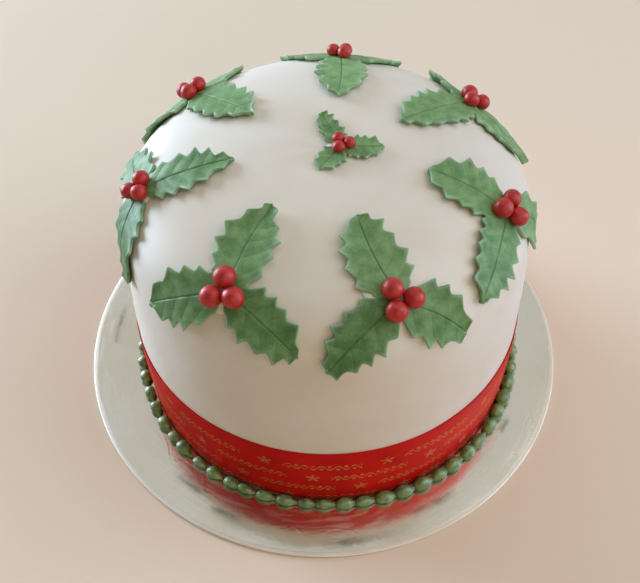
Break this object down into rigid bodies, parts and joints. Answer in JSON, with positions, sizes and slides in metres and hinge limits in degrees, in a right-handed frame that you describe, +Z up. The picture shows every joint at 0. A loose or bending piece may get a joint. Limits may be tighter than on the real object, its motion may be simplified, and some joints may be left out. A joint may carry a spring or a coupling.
{
  "type": "christmas cake",
  "caption": "Round iced Christmas cake with a domed white top, holly sprigs, a red satin ribbon and a green piped border, on its silver card.",
  "frame": {"origin": "bottom centre of the round card that the cake stands on", "axes": "+Z up; -Y towards the front that the picture shows; +X to its right"},
  "size_m": [0.2032, 0.2032, 0.1235],
  "materials": {
    "board": "silver foil face, fine emboss, soft mirror",
    "icing": "smooth rolled white icing, soft satin",
    "ribbon": "red satin with small gold motifs",
    "border": "piped moss green icing, glossy",
    "leaf": "green sugar paste, veined, satin",
    "berry": "red sugar paste, rolled, soft gloss"
  },
  "bodies": {
    "root": {"cake_board": "board", "iced_cake": "icing", "ribbon": "ribbon", "piped_border": "border", "leaf_front_left_1": "leaf", "leaf_front_left_2": "leaf", "leaf_front_left_3": "leaf", "leaf_front_right_1": "leaf", "leaf_front_right_2": "leaf", "leaf_front_right_3": "leaf", "leaf_right_1": "leaf", "leaf_right_2": "leaf", "leaf_right_3": "leaf", "leaf_back_right_1": "leaf", "leaf_back_right_2": "leaf", "leaf_back_right_3": "leaf", "leaf_back_1": "leaf", "leaf_back_2": "leaf", "leaf_back_3": "leaf", "leaf_back_left_1": "leaf", "leaf_back_left_2": "leaf", "leaf_back_left_3": "leaf", "leaf_left_1": "leaf", "leaf_left_2": "leaf", "leaf_left_3": "leaf", "leaf_middle_1": "leaf", "leaf_middle_2": "leaf", "leaf_middle_3": "leaf", "berry_front_left_1": "berry", "berry_front_left_2": "berry", "berry_front_left_3": "berry", "berry_front_right_1": "berry", "berry_front_right_2": "berry", "berry_front_right_3": "berry", "berry_right_1": "berry", "berry_right_2": "berry", "berry_right_3": "berry", "berry_back_right_1": "berry", "berry_back_right_2": "berry", "berry_back_right_3": "berry", "berry_back_1": "berry", "berry_back_2": "berry", "berry_back_3": "berry", "berry_back_left_1": "berry", "berry_back_left_2": "berry", "berry_back_left_3": "berry", "berry_left_1": "berry", "berry_left_2": "berry", "berry_left_3": "berry", "berry_middle_1": "berry", "berry_middle_2": "berry", "berry_middle_3": "berry"}
  },
  "joints": []
}
